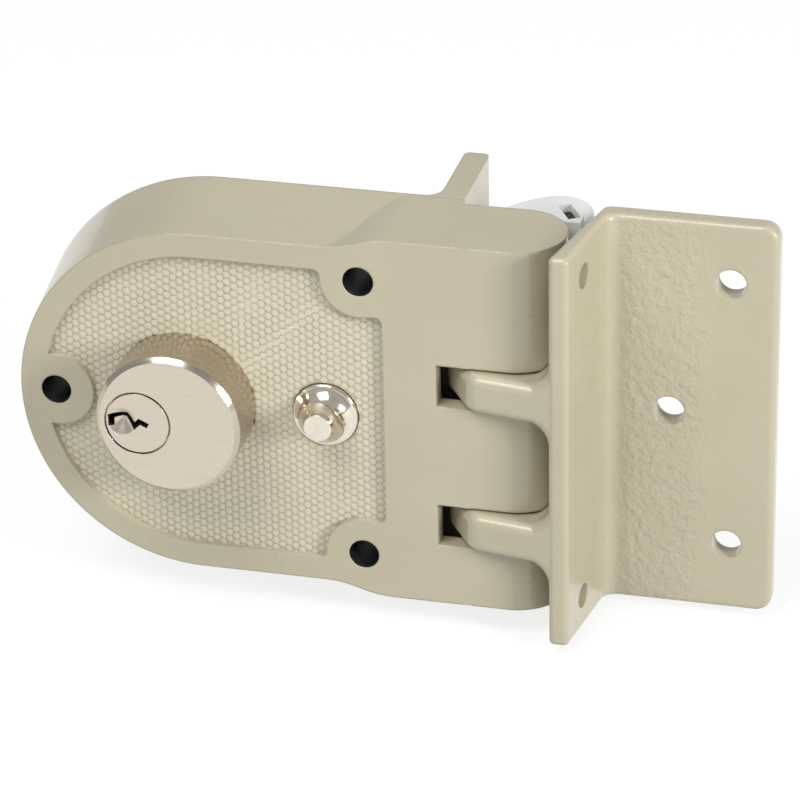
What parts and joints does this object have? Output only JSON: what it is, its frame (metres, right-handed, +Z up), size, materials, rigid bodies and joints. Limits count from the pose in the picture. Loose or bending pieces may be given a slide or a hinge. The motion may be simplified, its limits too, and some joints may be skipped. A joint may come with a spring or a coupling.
{
  "type": "interlocking sliding door deadlock",
  "caption": "Surface-mounted deadlock with a key cylinder, a push button and an angle strike whose fingers are pinned by drop bolts.",
  "frame": {"origin": "on the key cylinder's axis, where it meets the face that sits against the door", "axes": "+X towards the strike, +Y into the door, +Z up"},
  "size_m": [0.1504, 0.0544, 0.0838],
  "materials": {
    "enamel": "glossy beige enamel",
    "guard_white": "glossy off-white",
    "nickel": "satin nickel",
    "zinc": "zinc plated",
    "dark_steel": "blackened",
    "polished_steel": "ground",
    "spring_steel": "drawn wire",
    "brass": "turned"
  },
  "bodies": {
    "lock_case": {"case": "enamel", "edge_flange": "enamel", "case_nose": "enamel", "back_cover": "zinc", "cover_screws": "zinc", "nose_guard": "guard_white", "guard_screw": "zinc", "bore_plug": "enamel", "cylinder_body": "nickel", "cylinder_set_screw": "dark_steel", "pin_strip": "nickel", "driver_pins": "brass", "driver_springs": "spring_steel", "guide_screws": "zinc", "button_bridge": "zinc", "button_spring": "spring_steel", "throw_spring": "spring_steel", "catch_pivot": "polished_steel", "catch_spring": "spring_steel"},
    "plug_body": {"plug": "nickel", "key_pins": "brass", "cam": "zinc", "cam_screws": "zinc"},
    "bolt_set": {"bolt_carriage": "zinc", "upper_bolt": "polished_steel", "lower_bolt": "polished_steel", "bolt_clips": "dark_steel", "catch_stud": "polished_steel"},
    "push_button": {"button": "nickel"},
    "catch": {"catch_lever": "zinc"},
    "strike_body": {"strike": "enamel", "strike_finger_upper": "enamel", "strike_finger_lower": "enamel"}
  },
  "joints": [
    {"name": "key_turn", "type": "hinge", "parent": "lock_case", "child": "plug_body", "pos_m": [-0.006, -0.02, 0], "axis": [0, 1, 0], "range_deg": [0, 70]},
    {"name": "bolt_throw", "type": "slide", "parent": "lock_case", "child": "bolt_set", "axis": [0, 0, -1], "range_m": [0, 0.014], "deforming": ["throw_spring"]},
    {"name": "button_press", "type": "slide", "parent": "lock_case", "child": "push_button", "axis": [0, 1, 0], "range_m": [0, 0.003], "stiffness_N_per_m": 900, "springref_m": -0.002},
    {"name": "catch_swing", "type": "hinge", "parent": "lock_case", "child": "catch", "pos_m": [0.0259, -0.0032, -0.014], "axis": [0, -1, 0], "range_deg": [0, 6.5]},
    {"name": "strike_slide", "type": "slide", "parent": "lock_case", "child": "strike_body", "axis": [1, 0, 0], "range_m": [0, 0.026]}
  ],
  "couplings": [
    {"joint": "key_turn", "follows": "bolt_throw", "rad_per_m": 87.258},
    {"joint": "catch_swing", "follows": "button_press", "rad_per_m": 37.812}
  ]
}
